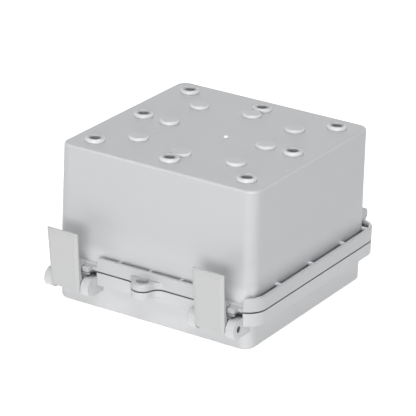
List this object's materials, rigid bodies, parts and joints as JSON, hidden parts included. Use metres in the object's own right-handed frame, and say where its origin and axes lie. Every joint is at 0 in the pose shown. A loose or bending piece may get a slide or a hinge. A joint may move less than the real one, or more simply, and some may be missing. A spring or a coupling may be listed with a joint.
{
  "type": "hinged junction box",
  "caption": "Square moulded enclosure with a hinged lid held by two swing latches, padlock tabs and back bosses for mounting feet.",
  "frame": {"origin": "middle of the lid's outer face, on the floor that the pictured box lies on", "axes": "+Z from the lid up to the back of the box, -Y towards the latches, +Y towards the hinges, X along the hinge line"},
  "size_m": [0.18, 0.2091, 0.1236],
  "materials": {
    "housing_plastic": "fine matte, light cool grey polycarbonate",
    "lid_plastic": "fine matte, light cool grey polycarbonate",
    "latch_plastic": "fine matte, slightly warmer light grey",
    "seal_rubber": "dark grey foamed seal",
    "pin_steel": "drawn stainless pin",
    "insert_brass": "knurled brass insert"
  },
  "bodies": {
    "housing": {"housing": "housing_plastic", "hinge_pin_left": "pin_steel", "hinge_pin_right": "pin_steel", "panel_insert_1": "insert_brass", "panel_insert_2": "insert_brass", "panel_insert_3": "insert_brass", "panel_insert_4": "insert_brass", "panel_insert_5": "insert_brass", "panel_insert_6": "insert_brass", "panel_insert_7": "insert_brass", "panel_insert_8": "insert_brass"},
    "lid": {"lid": "lid_plastic", "gasket": "seal_rubber", "latch_pin_left": "pin_steel", "latch_pin_right": "pin_steel"},
    "latch_left": {"latch_left": "latch_plastic"},
    "latch_right": {"latch_right": "latch_plastic"}
  },
  "joints": [
    {"name": "lid_hinge", "type": "hinge", "parent": "housing", "child": "lid", "pos_m": [0, 0.0961, 0.0435], "axis": [1, 0, 0], "range_deg": [0, 180]},
    {"name": "latch_left_hinge", "type": "hinge", "parent": "lid", "child": "latch_left", "pos_m": [-0.061, -0.0942, 0.0224], "axis": [1, 0, 0], "range_deg": [0, 90]},
    {"name": "latch_right_hinge", "type": "hinge", "parent": "lid", "child": "latch_right", "pos_m": [0.061, -0.0942, 0.0224], "axis": [1, 0, 0], "range_deg": [0, 90]}
  ]
}
